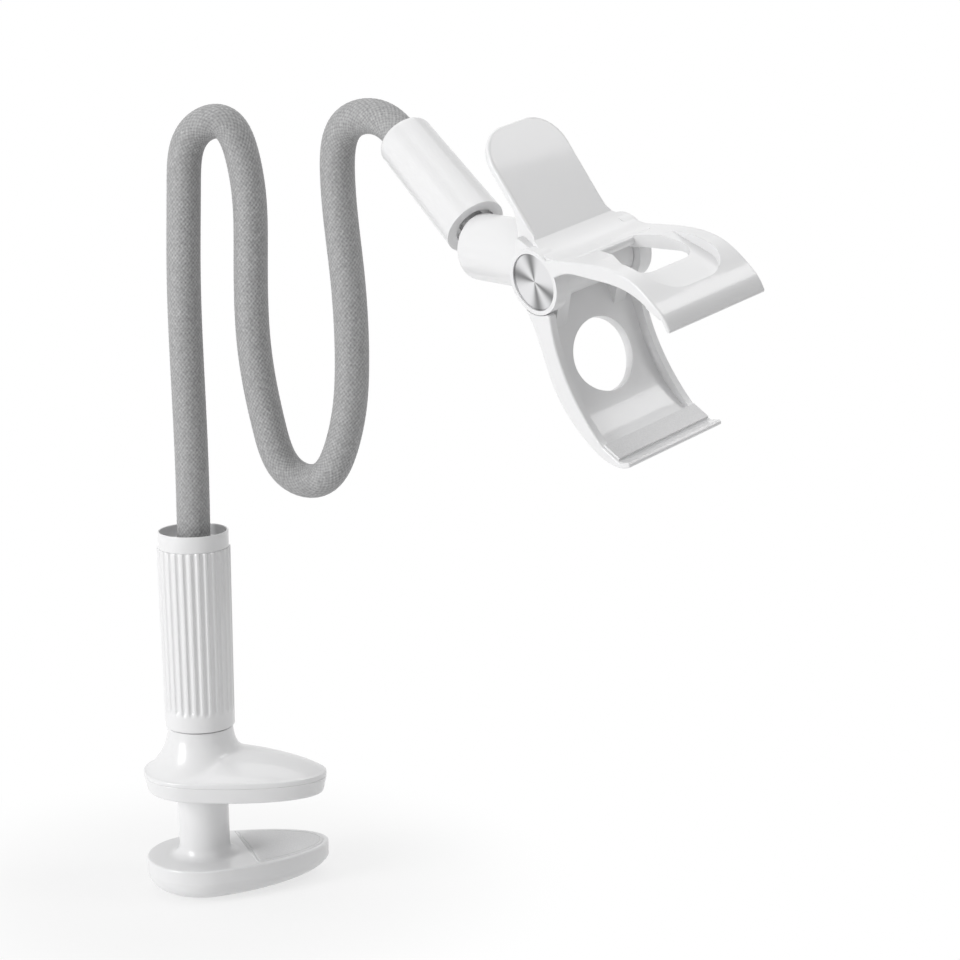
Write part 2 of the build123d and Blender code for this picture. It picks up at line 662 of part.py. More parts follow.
def main():
    os.makedirs("parts", exist_ok=True)
    export("lower_jaw", lower_jaw())
    export("lower_pad", lower_pad())
    export("anchor_nut", anchor_nut())
    export("clamp_screw", clamp_screw())
    export("lower_ferrule", lower_ferrule())
    export("swivel_ring", swivel_ring())
    export("upper_jaw", upper_jaw())
    export("upper_jaw_base", upper_jaw_base())
    export("upper_pad", upper_pad())
    export("handle_tube", handle_tube())
    export("grip_sleeve", grip_sleeve())
    export("handle_nut", handle_nut())
    last = len(SECTIONS) - 1
    for index, (points, bends) in enumerate(SECTIONS):
        lead = CORE_START if index else CORE_END
        export(f"neck_sleeve_{index}", neck_sleeve(points, bends, index > 0, index < last, lead, CORE_END))
        export(f"neck_core_{index}", neck_core(points, bends, lead, CORE_END))
    export("collar", collar())
    export("mouth_ring", mouth_ring())
    export("ball_stud", ball_stud())
    export("ball", ball())
    export("socket_liner", socket_liner())
    export("barrel", barrel())
    export("clip_lower_jaw", clip_lower_jaw())
    export("clip_lower_pad", clip_lower_pad())
    export("clip_upper_jaw", clip_upper_jaw())
    export("clip_upper_pad", clip_upper_pad())
    export("torsion_spring", torsion_spring())
    export("pivot_pin", pivot_pin())
    export("pivot_cap_near", pivot_cap(-1))
    export("pivot_cap_far", pivot_cap(1))


main()
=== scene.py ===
"""Dresses a clamp-on gooseneck holder: woven neck, fluted grip, caps, jaws, finishes and stage."""

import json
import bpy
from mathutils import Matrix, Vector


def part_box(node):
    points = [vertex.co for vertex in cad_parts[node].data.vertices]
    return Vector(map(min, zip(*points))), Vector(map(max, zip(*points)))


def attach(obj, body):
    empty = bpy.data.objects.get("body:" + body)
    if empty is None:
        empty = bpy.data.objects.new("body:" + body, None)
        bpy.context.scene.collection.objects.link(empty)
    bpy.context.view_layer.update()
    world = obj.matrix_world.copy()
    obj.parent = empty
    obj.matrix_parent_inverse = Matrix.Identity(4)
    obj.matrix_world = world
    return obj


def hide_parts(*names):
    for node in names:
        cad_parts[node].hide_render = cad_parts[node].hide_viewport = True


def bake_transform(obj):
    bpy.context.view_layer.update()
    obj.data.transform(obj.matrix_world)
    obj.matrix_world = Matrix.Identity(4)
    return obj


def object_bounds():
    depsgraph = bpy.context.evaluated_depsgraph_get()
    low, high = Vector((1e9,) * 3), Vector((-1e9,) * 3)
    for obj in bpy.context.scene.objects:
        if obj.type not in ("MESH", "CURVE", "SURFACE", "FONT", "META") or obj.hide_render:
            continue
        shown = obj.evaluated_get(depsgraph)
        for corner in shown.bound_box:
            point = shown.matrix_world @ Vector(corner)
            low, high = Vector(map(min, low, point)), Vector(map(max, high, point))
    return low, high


bl_info = {
    "name": "Gooseneck holder",
    "version": (1, 0, 0),
    "blender": (4, 5, 0),
    "location": "View3D > Sidebar > Holder",
    "description": "Builds the visible skins and finishes of a clamp-on gooseneck holder",
    "category": "Object",
}

import bmesh
import bpy
import numpy as np
from mathutils import Matrix

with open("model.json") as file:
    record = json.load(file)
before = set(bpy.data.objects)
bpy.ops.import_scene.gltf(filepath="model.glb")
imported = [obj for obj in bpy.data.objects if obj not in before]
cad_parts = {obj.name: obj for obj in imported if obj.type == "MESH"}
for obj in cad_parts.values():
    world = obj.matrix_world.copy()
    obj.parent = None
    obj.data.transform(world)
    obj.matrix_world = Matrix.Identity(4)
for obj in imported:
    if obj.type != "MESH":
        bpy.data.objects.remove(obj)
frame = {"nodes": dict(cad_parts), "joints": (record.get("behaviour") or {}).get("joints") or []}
CAD_BOX = [list(corner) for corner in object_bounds()]

# Joints and places that the frame gives
JOINTS = {joint["name"]: joint for joint in frame["joints"]}
COLUMN_X = JOINTS["jaw_swivel"]["pos_m"][0]
FLOOR_Z = CAD_BOX[0][2]

# Points in metres that the neck's centre line follows, from its foot to its end in the collar
NECK_ROUTE = (
    (-0.03715, 0.0, 0.1336),
    (-0.0366, -0.0002, 0.1736),
    (-0.0369, 0.0, 0.2167),
    (-0.0370, 0.0, 0.2604),
    (-0.0355, -0.0006, 0.3023),
    (-0.0293, -0.0039, 0.3250),
    (-0.0203, -0.0091, 0.3282),
    (-0.0122, -0.0132, 0.3122),
    (-0.0103, -0.0145, 0.2755),
    (-0.0107, -0.0155, 0.2338),
    (-0.0055, -0.0183, 0.1952),
    (0.0032, -0.0233, 0.1747),
    (0.0121, -0.0302, 0.1727),
    (0.0213, -0.0382, 0.1890),
    (0.0248, -0.0452, 0.2247),
    (0.0230, -0.0471, 0.2662),
    (0.0198, -0.0478, 0.3067),
    (0.0231, -0.0532, 0.3278),
    (0.0330, -0.0665, 0.3307),
    (0.03925, -0.0795, 0.3229),
    (0.04316, -0.09018, 0.31474),
)

# Direction across the neck's bends, and half the length in metres over which its line is averaged
NECK_ACROSS = (0.3206, 0.9472, 0.0)
SOFTEN = 0.008

# Bends of the neck: their number
BEND_COUNT = 6

# Share of a strand's height that is left where it goes under another
BRAID_UNDER = 0.35

# Points round a turned piece, round a jaw, in a rounded corner and across a flute
TURN_STEPS = 128
JAW_STEPS = 192
CORNER_STEPS = 6
FLUTE_STEPS = 14

# Rings of a cap and of a facing, and how many points of the sleeve go to one of the core
CAP_RINGS = 24
FACING_RINGS = 80
CORE_STRIDE = 2

# Distance in metres under which points are one
WELD = 1e-7

# Longest sides in metres of the grip's and the lip's outlines
GRIP_SIDE = 0.0012
LIP_SIDE = 0.002

# Roundings in metres of the lip's outline, from the foot of its outside
LIP_ROUNDS = (0.0002, 0.0002, 0.0003, 0.00038, 0.00038, 0.0004, 0.0003, 0.0002)

# Painted reflection of a spun cap, as dark rays in its colour: the angle of the middle of each and
# its spread, in radians from the cap's top
CAP_PAINTED_RAYS = ((0.0, 0.30), (1.31, 0.34), (3.14, 0.30), (4.19, 0.30))

# Facings: how sharply the straight edge turns into the curve, the least slope at which that edge is met,
# and the widths of the rim's line and of the crown's fall as shares of the line's inset
FACING_CORNER = 40
FACING_FAR = 0.001
LINE_WIDTH = 1 / 6
CROWN_WIDTH = 3

# Bell of the upper jaw: rings of points, how closely flare and crest keep to the higher of them, how full
# the crest is, and the cosines of the angle from the nose at which it starts and is whole
BELL_RINGS = 90
BELL_UNION = 8
BELL_FULLNESS = 0.8
CREST_START = -0.25
CREST_WHOLE = 0.75

# Patterns of the finishes: scales per metre, the darkest share of a colour, and the strength and depth
# in metres of a bump
CLOUD = {"Scale": 38.0, "Detail": 3.0}
CLOUD_LOW = 0.985
PEEL = {"Scale": 900.0, "Detail": 2.0}
PEEL_BUMP = (0.06, 0.0002)
PEBBLE = {"Scale": 1400.0}
PEBBLE_LOW = 0.93
PEBBLE_BUMP = (0.25, 0.0002)
LATHE = {"Scale": 700.0, "Distortion": 0.6, "bands_direction": "Z"}
LATHE_LOW = 0.82
LATHE_BUMP = (0.1, 0.0001)
# Darkest share of the cap's colour in its painted reflection rays
PAINTED_RAY_LOW = 0.3
RISE_BUMP = (0.12, 0.00005)
# Patches of the sleeve's tone, and the ends of its ramp from painted groove shade to strand colour
PATCH = {"Scale": 900.0, "Detail": 2.0}
PATCH_RAMP = (0.1, 0.6)
FIBRE = {"Scale": 1100.0, "Detail": 3.0}
FIBRE_BUMP = (0.6, 0.0004)

# Colour of the steel, and how rough, metallic or glossy the finishes are
STEEL_COLOUR = (0.62, 0.62, 0.64)
STEEL_ROUGHNESS = 0.34
COAT_ROUGHNESS = 0.05
PLASTIC_IOR = 1.5
LINER_ROUGHNESS = 0.5
RUBBER_ROUGHNESS = 0.62
CAP_METAL = 0.85
CAP_ROUGHNESS = 0.3
SLEEVE_ROUGHNESS = 0.5
SLEEVE_GLOSS = 0.4

# Floor: its radius in metres and its rings of points, its finish, and the share of the shade's reach at
# which the shade starts to fade
FLOOR_RADIUS = 6.0
FLOOR_RINGS = 12
FLOOR_ROUGHNESS = 0.9
FLOOR_GLOSS = 0.1
FADE_START = 1 / 3

# Colour of the surroundings
WHITE = (1, 1, 1, 1)

# Lamps in metres: their places, their widths and heights, and the direction of a level lamp's width
LAMP_LEVEL = (0.3, -1.0, 0.0)
KEY_PLACE = (-1.58, -0.40, 0.62)
KEY_SIZE = (0.6, 1.2)
TOP_PLACE = (0.1, 0.1, 1.6)
TOP_SIZE = (1.4, 1.4)
SIDE_PLACE = (0.955, -0.527, 1.485)
SIDE_SIZE = (0.6, 0.35)

# Camera: its place in metres, the directions of its right, top and back, and its lens in millimetres
CAMERA_PLACE = (-0.26647, -1.07375, 0.39144)
CAMERA_RIGHT = (0.94615, -0.32339, -0.01459)
CAMERA_UP = (0.07801, 0.18405, 0.97982)
CAMERA_BACK = (-0.31418, -0.92819, 0.19937)
CAMERA_LENS = 94.875
CAMERA_SENSOR = 36.0


def unit(vector):
    """The vector divided by its length."""
    vector = np.asarray(vector, float)
    return vector / np.linalg.norm(vector)


def grid_quads(rows, columns, wrap_rows):
    """Four corner indices of every cell of a grid of rings: one step round, then one step across."""
    row = np.arange(rows if wrap_rows else rows - 1)[:, None]
    column = np.arange(columns)[None, :]
    here = row * columns
    below = (row + 1) % rows * columns
    beside = (column + 1) % columns
    corners = (here + column, here + beside, below + beside, below + column)
    return np.stack(corners, -1).reshape(-1, 4)


def piece_from_grid(name, points, wrap_rows):
    """A smooth mesh object whose faces are the cells of a grid of points, with closed rings for rows."""
    rows, columns = points.shape[:2]
    quads = grid_quads(rows, columns, wrap_rows)
    mesh = bpy.data.meshes.new(name)
    mesh.vertices.add(rows * columns)
    mesh.vertices.foreach_set("co", points.reshape(-1).astype(np.float32))
    mesh.loops.add(quads.size)
    mesh.loops.foreach_set("vertex_index", quads.reshape(-1).astype(np.int32))
    mesh.polygons.add(len(quads))
    mesh.polygons.foreach_set("loop_start", np.arange(0, quads.size, 4, dtype=np.int32))
    mesh.polygons.foreach_set("use_smooth", np.ones(len(quads), dtype=bool))
    mesh.update(calc_edges=True)
    piece = bpy.data.objects.new(name, mesh)
    bpy.context.scene.collection.objects.link(piece)
    return piece


def rounded_loop(corners, radii):
    """A closed outline in the plane: at each corner, an arc of its own radius, tangent to the sides."""
    corners = np.asarray(corners, float)
    chunks = []
    for index, radius in enumerate(radii):
        corner = corners[index]
        back = unit(corners[index - 1] - corner)
        ahead = unit(corners[(index + 1) % len(corners)] - corner)
        half_turn = (np.pi - np.arccos(np.clip(back @ ahead, -1, 1))) / 2
        middle = unit(back + ahead)
        chord = unit(ahead - back)
        turn = np.linspace(-half_turn, half_turn, CORNER_STEPS)[:, None]
        centre = corner + middle * radius / np.cos(half_turn)
        chunks.append(centre - radius * (np.cos(turn) * middle - np.sin(turn) * chord))
    return np.concatenate(chunks)


def refined(outline, longest):
    """The same closed outline with extra points, so that no side is longer than the given length."""
    ahead = np.roll(outline, -1, axis=0)
    chunks = []
    for start, end in zip(outline, ahead):
        count = max(1, int(np.ceil(np.linalg.norm(end - start) / longest)))
        part = np.linspace(0, 1, count, endpoint=False)[:, None]
        chunks.append(start + (end - start) * part)
    return np.concatenate(chunks)


def turned_grid(outline, origin, axis, lean):
    """An outline of radii and heights turned about an axis: rows are the outline, columns the turn."""
    axis = unit(axis)
    side = unit(np.asarray(lean, float) - axis * (np.asarray(lean, float) @ axis))
    other = np.cross(axis, side)
    turn = np.linspace(0, 2 * np.pi, TURN_STEPS, endpoint=False)
    spoke = np.cos(turn)[:, None] * side + np.sin(turn)[:, None] * other
    radius = outline[:, 0][:, None, None]
    height = outline[:, 1][:, None, None]
    return np.asarray(origin, float) + radius * spoke[None] + height * axis


def cubic_through(points, step):
    """Smooth line through points: cubic spans whose second derivatives solve a three-term system."""
    gap = np.linalg.norm(np.diff(points, axis=0), axis=1)
    place = np.concatenate(([0.0], np.cumsum(gap)))
    slope = np.diff(points, axis=0) / gap[:, None]
    inner = np.arange(1, len(points) - 1)
    system = np.eye(len(points))
    system[inner, inner - 1] = gap[:-1]
    system[inner, inner] = 2 * (gap[:-1] + gap[1:])
    system[inner, inner + 1] = gap[1:]
    change = np.zeros_like(points)
    change[1:-1] = 6 * np.diff(slope, axis=0)
    bend = np.linalg.solve(system, change)
    even = np.arange(0, place[-1], step)
    span = np.searchsorted(place, even, "right") - 1
    along = (even - place[span])[:, None]
    reach = gap[span][:, None]
    first = slope[span] - reach * (2 * bend[span] + bend[span + 1]) / 6
    third = (bend[span + 1] - bend[span]) / (6 * reach)
    return points[span] + along * (first + along * (bend[span] / 2 + along * third))


def neck_line(step):
    """Centre line of the neck: a smooth line through its points, evenly stepped and then averaged."""
    line = cubic_through(np.array(NECK_ROUTE), step)
    travel = np.concatenate(([0.0], np.cumsum(np.linalg.norm(np.diff(line, axis=0), axis=1))))
    even = np.arange(0, travel[-1], step)
    line = np.stack([np.interp(even, travel, line[:, k]) for k in range(3)], -1)
    half = int(SOFTEN / step)
    weights = np.hanning(2 * half + 1)
    weights /= weights.sum()
    lead = line[0] + (line[0] - line[1]) * np.arange(half, 0, -1)[:, None]
    trail = line[-1] + (line[-1] - line[-2]) * np.arange(1, half + 1)[:, None]
    padded = np.concatenate((lead, line, trail))
    return np.stack([np.convolve(padded[:, k], weights, "valid") for k in range(3)], -1)


def braid_height(turn, travel, strands, pitch):
    """Braid of two sets of helical strands: half-round ridges that rise over every other crossing."""
    right = strands * turn / (2 * np.pi) + travel / pitch
    left = strands * turn / (2 * np.pi) - travel / pitch
    right_round = np.sin(np.pi * (right % 1))
    left_round = np.sin(np.pi * (left % 1))
    right_lift = 0.5 + 0.5 * np.sin(np.pi * left + np.pi * np.floor(right))
    left_lift = 0.5 - 0.5 * np.sin(np.pi * right + np.pi * np.floor(left))
    over = np.sqrt(right_round) * (BRAID_UNDER + (1 - BRAID_UNDER) * right_lift)
    under = np.sqrt(left_round) * (BRAID_UNDER + (1 - BRAID_UNDER) * left_lift)
    return np.maximum(over, under)


def add_float(piece, name, values):
    """A number on every point of a mesh, for its material to read."""
    attribute = piece.data.attributes.new(name, "FLOAT", "POINT")
    attribute.data.foreach_set("value", values.reshape(-1).astype(np.float32))


def weld(piece):
    """Joins the points of a mesh that lie together, as at a pole."""
    shape = bmesh.new()
    shape.from_mesh(piece.data)
    bmesh.ops.remove_doubles(shape, verts=shape.verts, dist=WELD)
    shape.to_mesh(piece.data)
    shape.free()


def new_material(name):
    """An empty node material and its surface shader."""
    material = bpy.data.materials.new(name)
    material.use_nodes = True
    shader = material.node_tree.nodes["Principled BSDF"]
    return material, shader


def add_node(material, kind, **values):
    """A node of that kind, with its sockets or settings filled in by name."""
    node = material.node_tree.nodes.new(kind)
    for name, value in values.items():
        if name in node.inputs:
            node.inputs[name].default_value = value
        else:
            setattr(node, name, value)
    return node


def join(material, source, target):
    """A link from one socket to another."""
    material.node_tree.links.new(source, target)


def bump_from(material, shader, height, strength, depth):
    """Feeds a height into the shader's normal as a bump."""
    bump = add_node(material, "ShaderNodeBump", Strength=strength, Distance=depth)
    join(material, height, bump.inputs["Height"])
    join(material, bump.outputs["Normal"], shader.inputs["Normal"])


def colour_spread(material, shader, height, low, high):
    """Feeds a height into the shader's colour through a ramp from one colour to another."""
    ramp = add_node(material, "ShaderNodeValToRGB")
    ramp.color_ramp.elements[0].color = (*low, 1)
    ramp.color_ramp.elements[1].color = (*high, 1)
    join(material, height, ramp.inputs["Fac"])
    join(material, ramp.outputs["Color"], shader.inputs["Base Color"])
    return ramp


def object_texture(material, kind, values):
    """A texture node that reads the piece's own coordinates."""
    place = add_node(material, "ShaderNodeTexCoord")
    texture = add_node(material, kind, **values)
    join(material, place.outputs["Object"], texture.inputs["Vector"])
    return texture


def dimmed(colour, share):
    """A colour whose channels are that share of the given one's."""
    return [share * channel for channel in colour]


def moulded_plastic(name, colour, roughness, coat):
    """Moulded plastic: a very slight cloud of colour, and the faint orange-peel of a polished mould."""
    material, shader = new_material(name)
    cloud = object_texture(material, "ShaderNodeTexNoise", CLOUD)
    colour_spread(material, shader, cloud.outputs["Fac"], dimmed(colour, CLOUD_LOW), colour)
    peel = object_texture(material, "ShaderNodeTexNoise", PEEL)
    bump_from(material, shader, peel.outputs["Fac"], *PEEL_BUMP)
    shader.inputs["Roughness"].default_value = roughness
    shader.inputs["Coat Weight"].default_value = coat
    shader.inputs["Coat Roughness"].default_value = COAT_ROUGHNESS
    shader.inputs["IOR"].default_value = PLASTIC_IOR
    return material


def soft_rubber(name, colour):
    """Soft rubber sheet: matt, with a fine pebble."""
    material, shader = new_material(name)
    pebble = object_texture(material, "ShaderNodeTexVoronoi", PEBBLE)
    colour_spread(material, shader, pebble.outputs["Distance"], dimmed(colour, PEBBLE_LOW), colour)
    bump_from(material, shader, pebble.outputs["Distance"], *PEBBLE_BUMP)
    shader.inputs["Roughness"].default_value = RUBBER_ROUGHNESS
    return material


def turned_steel(name, colour):
    """Turned steel: fine lathe lines round the column, darker between them."""
    material, shader = new_material(name)
    lines = object_texture(material, "ShaderNodeTexWave", LATHE)
    colour_spread(material, shader, lines.outputs["Fac"], dimmed(colour, LATHE_LOW), colour)
    bump_from(material, shader, lines.outputs["Fac"], *LATHE_BUMP)
    shader.inputs["Metallic"].default_value = 1.0
    shader.inputs["Roughness"].default_value = STEEL_ROUGHNESS
    return material


def spun_metal_painted_rays(name, colour):
    """Spun disc: a painted reflection as bright and dark rays from the angle round it, and a faint rise
    towards the rim.
    """
    material, shader = new_material(name)
    # The ray attribute paints the spun disc's reflection into its colour as bright and dark rays.
    ray = add_node(material, "ShaderNodeAttribute", attribute_name="ray")
    colour_spread(material, shader, ray.outputs["Fac"], dimmed(colour, PAINTED_RAY_LOW), colour)
    ring = add_node(material, "ShaderNodeAttribute", attribute_name="ring")
    rise = add_node(material, "ShaderNodeMath", operation="SINE")
    join(material, ring.outputs["Fac"], rise.inputs[0])
    bump_from(material, shader, rise.outputs["Value"], *RISE_BUMP)
    shader.inputs["Metallic"].default_value = CAP_METAL
    shader.inputs["Roughness"].default_value = CAP_ROUGHNESS
    return material


def woven_sleeve(name, groove, strand):
    """Woven sleeve: painted shade between the strands and lighter strand tops, varied in patches, with a
    fibre grain.
    """
    material, shader = new_material(name)
    patch = object_texture(material, "ShaderNodeTexNoise", PATCH)
    # The strands' height, times the patches, paints shade into the colour between the strands.
    relief = add_node(material, "ShaderNodeAttribute", attribute_name="relief")
    painted_shade_and_patches = add_node(material, "ShaderNodeMath", operation="MULTIPLY")
    join(material, relief.outputs["Fac"], painted_shade_and_patches.inputs[0])
    join(material, patch.outputs["Fac"], painted_shade_and_patches.inputs[1])
    ramp = colour_spread(material, shader, painted_shade_and_patches.outputs["Value"], groove, strand)
    for element, position in zip(ramp.color_ramp.elements, PATCH_RAMP):
        element.position = position
    fibre = object_texture(material, "ShaderNodeTexNoise", FIBRE)
    bump_from(material, shader, fibre.outputs["Fac"], *FIBRE_BUMP)
    shader.inputs["Roughness"].default_value = SLEEVE_ROUGHNESS
    shader.inputs["Specular IOR Level"].default_value = SLEEVE_GLOSS
    return material


def dress(material, *nodes):
    """Gives the frame's own solids a finish."""
    for node in nodes:
        slots = frame["nodes"][node].data.materials
        slots.clear()
        slots.append(material)


def length_setting(label, words, metres):
    """A length that can be set, in metres."""
    return bpy.props.FloatProperty(name=label, description=words, default=metres, unit="LENGTH")


def colour_setting(label, words, channels):
    """A colour that can be set."""
    return bpy.props.FloatVectorProperty(
        name=label, description=words, default=channels, subtype="COLOR")


class NeckSettings(bpy.types.PropertyGroup):
    """Sizes and colours of the woven neck."""

    radius: length_setting("Radius", "Outer radius of the sleeve", 0.0074)
    relief: length_setting("Relief", "Height of the strands", 0.0003)
    strands: bpy.props.IntProperty(
        name="Strands", description="Strands of each set round the sleeve", default=26, min=4)
    pitch: length_setting("Pitch", "Length of one crossing along the neck", 0.0021)
    around: bpy.props.IntProperty(
        name="Points around", description="Points round the sleeve", default=156, min=24)
    step: length_setting("Step", "Distance between rings of points", 0.0004)
    core: length_setting("Core radius", "Radius of the wire inside the sleeve", 0.0054)
    core_relief: length_setting("Core relief", "Depth between the core's wires", 0.0005)
    wires: bpy.props.IntProperty(
        name="Wires", description="Wires round the core", default=12, min=3)
    lay: length_setting("Lay", "Length along which a wire goes once round", 0.06)
    # Painted shade: the groove colour darkens the sleeve between the strands, by their height, and the
    # strand colour lightens their tops.
    groove: colour_setting("Groove colour", "Colour between the strands", (0.24, 0.24, 0.243))
    strand: colour_setting("Strand colour", "Colour on top of the strands", (0.51, 0.51, 0.513))
    wire: colour_setting("Wire colour", "Colour of the core", (0.66, 0.66, 0.68))


class ShellSettings(bpy.types.PropertyGroup):
    """Finish of the white mouldings and the pads."""

    white: colour_setting("White", "Colour of the mouldings", (0.83, 0.83, 0.835))
    pad: colour_setting("Pad", "Colour of the soft pads", (0.82, 0.82, 0.825))
    roughness: bpy.props.FloatProperty(
        name="Roughness", description="Roughness of the mouldings", default=0.3, subtype="FACTOR")
    coat: bpy.props.FloatProperty(
        name="Coat", description="Gloss over the mouldings", default=0.4, subtype="FACTOR")


class GripSettings(bpy.types.PropertyGroup):
    """Sizes of the fluted grip and the lip above it."""

    low_radius: length_setting("Low radius", "Outer radius at the bottom", 0.0155)
    high_radius: length_setting("High radius", "Outer radius at the top", 0.0163)
    bore: length_setting("Bore", "Inner radius of the grip", 0.0138)
    bore_edge: length_setting("Bore edge", "Rounding of the bore's ends", 0.00015)
    flutes: bpy.props.IntProperty(
        name="Flutes", description="Flutes round the grip", default=28, min=6)
    flute_radius: length_setting("Flute radius", "Radius of a flute's section", 0.00135)
    flute_depth: length_setting("Flute depth", "Depth of a flute", 0.0008)
    band: length_setting("Band", "Plain height under the flutes", 0.008)
    edge: length_setting("Edge", "Rounding of the grip's ends", 0.0006)
    lip_out: length_setting("Lip radius", "Outer radius of the lip", 0.0156)
    lip_in: length_setting("Lip bore", "Inner radius of the lip", 0.0148)
    lip_height: length_setting("Lip height", "Height of the lip", 0.0074)
    lip_floor: length_setting("Lip floor", "Height of the lip's floor above its foot", 0.002)
    tube_bore: length_setting("Tube bore", "Inner radius of the tube under the lip", 0.0124)


class CapSettings(bpy.types.PropertyGroup):
    """Sizes and colour of the two spun caps on the clip's pivot."""

    radius: length_setting("Radius", "Radius of a cap", 0.0112)
    face: length_setting("Face", "Distance of a cap's face from the middle of the pivot", 0.02435)
    thick: length_setting("Thickness", "Thickness of a cap", 0.0016)
    edge: length_setting("Edge", "Bevel of a cap's rim", 0.0004)
    dish: length_setting("Dish", "Depth of the hollow in a cap's face", 0.00025)
    metal: colour_setting("Metal", "Colour of the spun metal", (0.78, 0.78, 0.79))


class FacingSettings(bpy.types.PropertyGroup):
    """Sizes of the soft facings on the clamp's jaws."""

    back: length_setting("Back edge", "Distance of the straight edge from the column", 0.019)
    nose: length_setting("Nose", "Distance of the lower facing's nose from the column", 0.0553)
    half: length_setting("Half width", "Half width of the lower facing", 0.0238)
    draft: length_setting("Draft", "How much smaller the upper facing is", 0.0017)
    twist: bpy.props.FloatProperty(
        name="Twist", description="Turn of the upper jaw about the column", default=-np.pi / 6,
        subtype="ANGLE")
    crown: length_setting("Crown", "Fall of the face towards its rim", 0.0004)
    groove: length_setting("Groove", "Depth of the line near the rim", 0.0003)
    groove_inset: length_setting("Groove inset", "Distance of that line from the rim", 0.0017)
    edge: length_setting("Edge", "Rounding of the rim", 0.0004)


class BellSettings(bpy.types.PropertyGroup):
    """Sizes of the upper jaw's bell, from the column's axis."""

    back: length_setting("Back", "Reach of the rim away from the nose", 0.026)
    nose: length_setting("Nose", "Reach of the rim at the nose", 0.0575)
    half: length_setting("Half width", "Reach of the rim to either side", 0.026)
    neck: length_setting("Neck", "Radius at the top", 0.0146)
    throat: length_setting("Throat", "Distance over which the neck turns into the flare", 0.0004)
    flare: length_setting("Flare", "Height of the flare at the neck, above where it runs out", 0.020)
    fall: length_setting("Fall", "Distance over which the flare comes down", 0.0076)
    sink: length_setting("Sink", "Depth below the parting at which the flare runs out", 0.003)
    rim: length_setting("Rim", "Height of the rim", 0.0018)
    crest: length_setting("Crest", "Height of the nose's crest above the rim", 0.0102)
    edge: length_setting("Edge", "Rounding of the rim", 0.0008)
    parting: length_setting("Parting", "Rounding beside the plate below", 0.0004)
    bore: length_setting("Bore", "Radius of the bore for the column", 0.0115)
    lip_bore: length_setting("Lip bore", "Radius of the lip that holds the swivel ring", 0.0127)
    lip: length_setting("Lip", "Thickness of that lip", 0.0014)
    clearance: length_setting("Clearance", "Room round the swivel ring", 0.0001)


class StageSettings(bpy.types.PropertyGroup):
    """Floor and light."""

    floor: colour_setting("Floor", "Colour of the floor", (0.9, 0.9, 0.9))
    shade_reach: length_setting(
        "Shade reach", "Distance from the clamp at which the floor turns white", 0.17)
    shade: bpy.props.FloatProperty(
        name="Shade", description="Share of the floor's own shade that shows beside the clamp",
        default=0.28, subtype="FACTOR")
    key: bpy.props.FloatProperty(
        name="Key light", description="Power of the light on the left", default=17.0, unit="POWER")
    top: bpy.props.FloatProperty(
        name="Top light", description="Power of the light above", default=7.0, unit="POWER")
    side: bpy.props.FloatProperty(
        name="Side light", description="Power of the light on the right", default=3.6, unit="POWER")
    fill: bpy.props.FloatProperty(
        name="Fill", description="Strength of the light from all round", default=0.34)


class HOLDER_OT_neck(bpy.types.Operator):
    """Woven sleeve of the neck and the stranded core in it.

    Each is a ring of points carried along the neck's centre line. The sleeve's radius has the braid's
    relief, and the core's is the rounded top of each of its wires, which wind round it at an even lay.
    """

    bl_idname = "holder.neck"
    bl_label = "Neck sleeve and core"

    def execute(self, context):
        sizes = context.scene.holder_neck
        line = neck_line(sizes.step)
        ahead = np.gradient(line, axis=0)
        ahead /= np.linalg.norm(ahead, axis=1)[:, None]
        across = np.array(NECK_ACROSS) - ahead * (ahead @ np.array(NECK_ACROSS))[:, None]
        across /= np.linalg.norm(across, axis=1)[:, None]
        beside = np.cross(ahead, across)
        turn = np.linspace(0, 2 * np.pi, sizes.around, endpoint=False)
        travel = np.arange(len(line)) * sizes.step
        spoke = np.cos(turn)[None, :, None] * across[:, None]
        spoke = spoke + np.sin(turn)[None, :, None] * beside[:, None]
        height = braid_height(turn[None, :], travel[:, None], sizes.strands, sizes.pitch)
        sleeve = line[:, None] + (sizes.radius - sizes.relief * (1 - height))[:, :, None] * spoke
        wind = sizes.wires * (turn[None, :] / 2 - np.pi * travel[:, None] / sizes.lay)
        core_radius = sizes.core - sizes.core_relief * (1 - np.abs(np.sin(wind)))
        core = line[:, None] + core_radius[:, :, None] * spoke
        # The sleeve's colour has painted shade between the strands.
        woven = woven_sleeve("woven_sleeve", sizes.groove, sizes.strand)
        wire = turned_steel("neck_wire", sizes.wire)
        hinges = [np.array(JOINTS[f"neck_bend_{k}"]["pos_m"]) for k in range(1, BEND_COUNT + 1)]
        places = [int(np.argmin(np.linalg.norm(line - hinge, axis=1))) for hinge in hinges]
        cuts = [0] + [(a + b) // 2 for a, b in zip(places, places[1:])] + [len(line) - 1]
        for index, place in enumerate(places):
            rows = slice(cuts[index], cuts[index + 1] + 1)
            skin = piece_from_grid(f"neck_skin_{index + 1}", sleeve[rows], False)
            add_float(skin, "relief", height[rows])
            self.seat(skin, index, ahead[place], woven, "neck_sleeve", "neck_skin")
            strands = core[rows][::CORE_STRIDE, ::CORE_STRIDE]
            inside = piece_from_grid(f"neck_wire_{index + 1}", strands, False)
            self.seat(inside, index, ahead[place], wire, "neck_core", "neck_wire")
        return {"FINISHED"}

    def seat(self, piece, index, ahead, material, node, slot):
        """Gives a length of the neck its finish, in place of the frame's own solids, which it hides."""
        piece.data.materials.append(material)
        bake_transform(piece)
        nodes = [f"{node}_{index + 1}"]
        if index == 0:
            nodes.append(f"{node}_0")
        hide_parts(*nodes)


